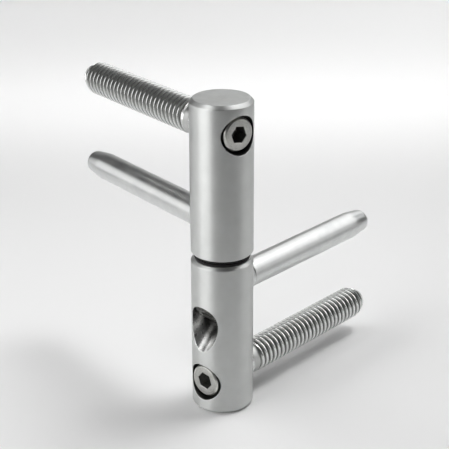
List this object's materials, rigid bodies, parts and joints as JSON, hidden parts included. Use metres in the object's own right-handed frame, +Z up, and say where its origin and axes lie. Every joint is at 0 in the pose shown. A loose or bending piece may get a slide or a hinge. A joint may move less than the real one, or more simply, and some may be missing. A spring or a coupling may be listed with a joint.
{
  "type": "drill-in barrel door hinge",
  "caption": "Upright barrel hinge in satin steel: each half has a threaded screw with a key socket and a smooth guide pin, and an inclined screw lifts the pivot.",
  "frame": {"origin": "centre of the frame barrel's lower face, on the hinge axis", "axes": "+Z up along the hinge axis, +Y along the frame half's screw and guide pin, away from the barrel; the leaf half's pins stand 79.3 degrees round from +Y towards -X"},
  "size_m": [0.067, 0.0676, 0.0839],
  "materials": {
    "satin_steel": "satin nickel-plated, fine turned finish",
    "plated_pin": "smooth bright zinc-plated",
    "plated_screw": "rolled thread, bright zinc-plated",
    "socket_ring": "dull plated",
    "blackened_steel": "blackened steel, lightly oiled",
    "ground_steel": "ground and hardened",
    "bearing_bronze": "sintered bronze",
    "black_nylon": "moulded black nylon"
  },
  "bodies": {
    "frame_half": {"frame_barrel": "satin_steel", "frame_guide_pin": "plated_pin", "frame_bush": "black_nylon", "gap_washer": "black_nylon"},
    "frame_fixing": {"frame_screw": "plated_screw", "frame_screw_ring": "socket_ring"},
    "pad": {"thrust_pad": "ground_steel"},
    "height_adjuster": {"height_screw": "blackened_steel"},
    "pivot": {"pivot_pin": "ground_steel"},
    "leaf_half": {"leaf_barrel": "satin_steel", "leaf_guide_pin": "plated_pin", "leaf_bush": "black_nylon", "thrust_disc": "bearing_bronze"},
    "leaf_fixing": {"leaf_screw": "plated_screw", "leaf_screw_ring": "socket_ring"}
  },
  "joints": [
    {"name": "pivot_lift", "type": "slide", "parent": "frame_half", "child": "pivot", "axis": [0, 0, 1], "range_m": [0, 0.00283]},
    {"name": "leaf_swing", "type": "hinge", "parent": "pivot", "child": "leaf_half", "pos_m": [0, 0, 0.0434], "axis": [0, 0, 1], "continuous": true},
    {"name": "pad_travel", "type": "slide", "parent": "frame_half", "child": "pad", "axis": [0, 0.7071, 0.7071], "range_m": [0, 0.002]},
    {"name": "height_screw_turn", "type": "hinge", "parent": "pad", "child": "height_adjuster", "pos_m": [0, 0, 0.0317], "axis": [0, 0.7071, 0.7071], "range_deg": [0, 720]},
    {"name": "frame_screw_turn", "type": "hinge", "parent": "frame_half", "child": "frame_fixing", "pos_m": [0, 0, 0.0085], "axis": [0, 1, 0], "continuous": true},
    {"name": "leaf_screw_turn", "type": "hinge", "parent": "leaf_half", "child": "leaf_fixing", "pos_m": [0, 0, 0.0761], "axis": [-0.9826, 0.1857, 0], "continuous": true}
  ],
  "couplings": [
    {"joint": "pad_travel", "follows": "pivot_lift", "ratio": 0.7067},
    {"joint": "height_screw_turn", "follows": "pivot_lift", "rad_per_m": 4440}
  ]
}
